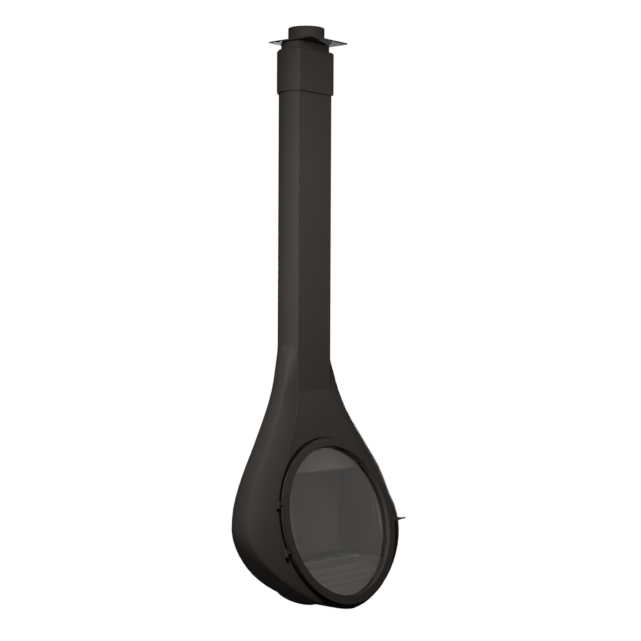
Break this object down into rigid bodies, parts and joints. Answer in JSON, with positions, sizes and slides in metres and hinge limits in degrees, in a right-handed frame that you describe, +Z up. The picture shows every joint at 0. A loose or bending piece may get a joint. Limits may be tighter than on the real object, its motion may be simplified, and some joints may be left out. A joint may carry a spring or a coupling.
{
  "type": "hanging fireplace",
  "caption": "Teardrop steel firebox with a round glass door, hung from a ceiling plate on a long D-shaped flue column with a sliding cover sleeve",
  "frame": {"origin": "centre of the ceiling plate's upper face, which lies against the ceiling", "axes": "+Z up, out of the ceiling face; -Y is the front with the glass door; +X is to the right as seen from the back, left hinge at -X"},
  "size_m": [0.936, 0.4064, 2.3703],
  "materials": {
    "black_steel": "matt heat-resistant paint, very dark warm grey",
    "inner_steel": "heat-darkened sheet steel",
    "liner_steel": "stainless liner sheet",
    "bare_steel": "bare steel fasteners",
    "lever_steel": "dark coated steel",
    "fire_board": "pressed refractory board, stands in for vermiculite",
    "cast_iron": "cast iron, matt black",
    "rope": "graphite-grey glass fibre rope",
    "felt": "dark felt strip",
    "door_glass": "clear heat-resistant glass ceramic, faintly warm grey"
  },
  "bodies": {
    "hung": {"ceiling_plate": "black_steel", "flue_spigot": "black_steel", "hanger_collar": "black_steel", "collar_screws": "bare_steel", "column_casing": "black_steel", "flue_liner": "liner_steel", "liner_spacers": "liner_steel", "joint_band": "inner_steel", "throat_plate": "inner_steel", "smoke_dome": "inner_steel", "pod_shell": "black_steel", "front_plate": "black_steel", "firebox_tub": "inner_steel", "tub_brackets": "inner_steel", "lining_back": "fire_board", "lining_left": "fire_board", "lining_right": "fire_board", "hearth_slab": "fire_board", "hearth_apron": "fire_board", "log_rail": "cast_iron", "grate": "cast_iron", "ash_pan": "inner_steel", "baffle_rails": "inner_steel", "baffle_lower": "fire_board", "baffle_spacers": "fire_board", "baffle_upper": "fire_board", "air_wash_board": "fire_board", "air_duct": "inner_steel", "inlet_collar": "black_steel", "inlet_grille": "inner_steel", "air_disc_bolt": "bare_steel", "hinge_brackets": "black_steel", "hinge_pins": "bare_steel", "latch_keeper": "black_steel"},
    "sleeve": {"cover_sleeve": "black_steel", "sleeve_shoulder": "black_steel", "sleeve_glides": "felt"},
    "air_disc": {"air_disc": "black_steel"},
    "door": {"door_frame": "black_steel", "glass_gasket": "rope", "door_glass": "door_glass", "glass_retainer": "inner_steel", "retainer_screws": "bare_steel", "door_seal": "rope", "door_knuckles": "black_steel", "latch_pivot": "bare_steel"},
    "lever": {"latch_lever": "lever_steel", "lever_grip": "lever_steel"}
  },
  "joints": [
    {"name": "door_hinge", "type": "hinge", "parent": "hung", "child": "door", "pos_m": [-0.345, -0.17974, -1.95484], "axis": [0, -0.2402, -0.9707], "range_deg": [0, 110]},
    {"name": "lever_turn", "type": "hinge", "parent": "door", "child": "lever", "pos_m": [0.322, -0.19131, -1.98288], "axis": [0, 0.9707, -0.2402], "range_deg": [0, 60]},
    {"name": "sleeve_slide", "type": "slide", "parent": "hung", "child": "sleeve", "axis": [0, 0, 1], "range_m": [-0.3, 0.02]},
    {"name": "air_control", "type": "hinge", "parent": "hung", "child": "air_disc", "pos_m": [0, 0.04, -2.268], "axis": [0, 0.3665, -0.9304], "range_deg": [0, 45]}
  ]
}
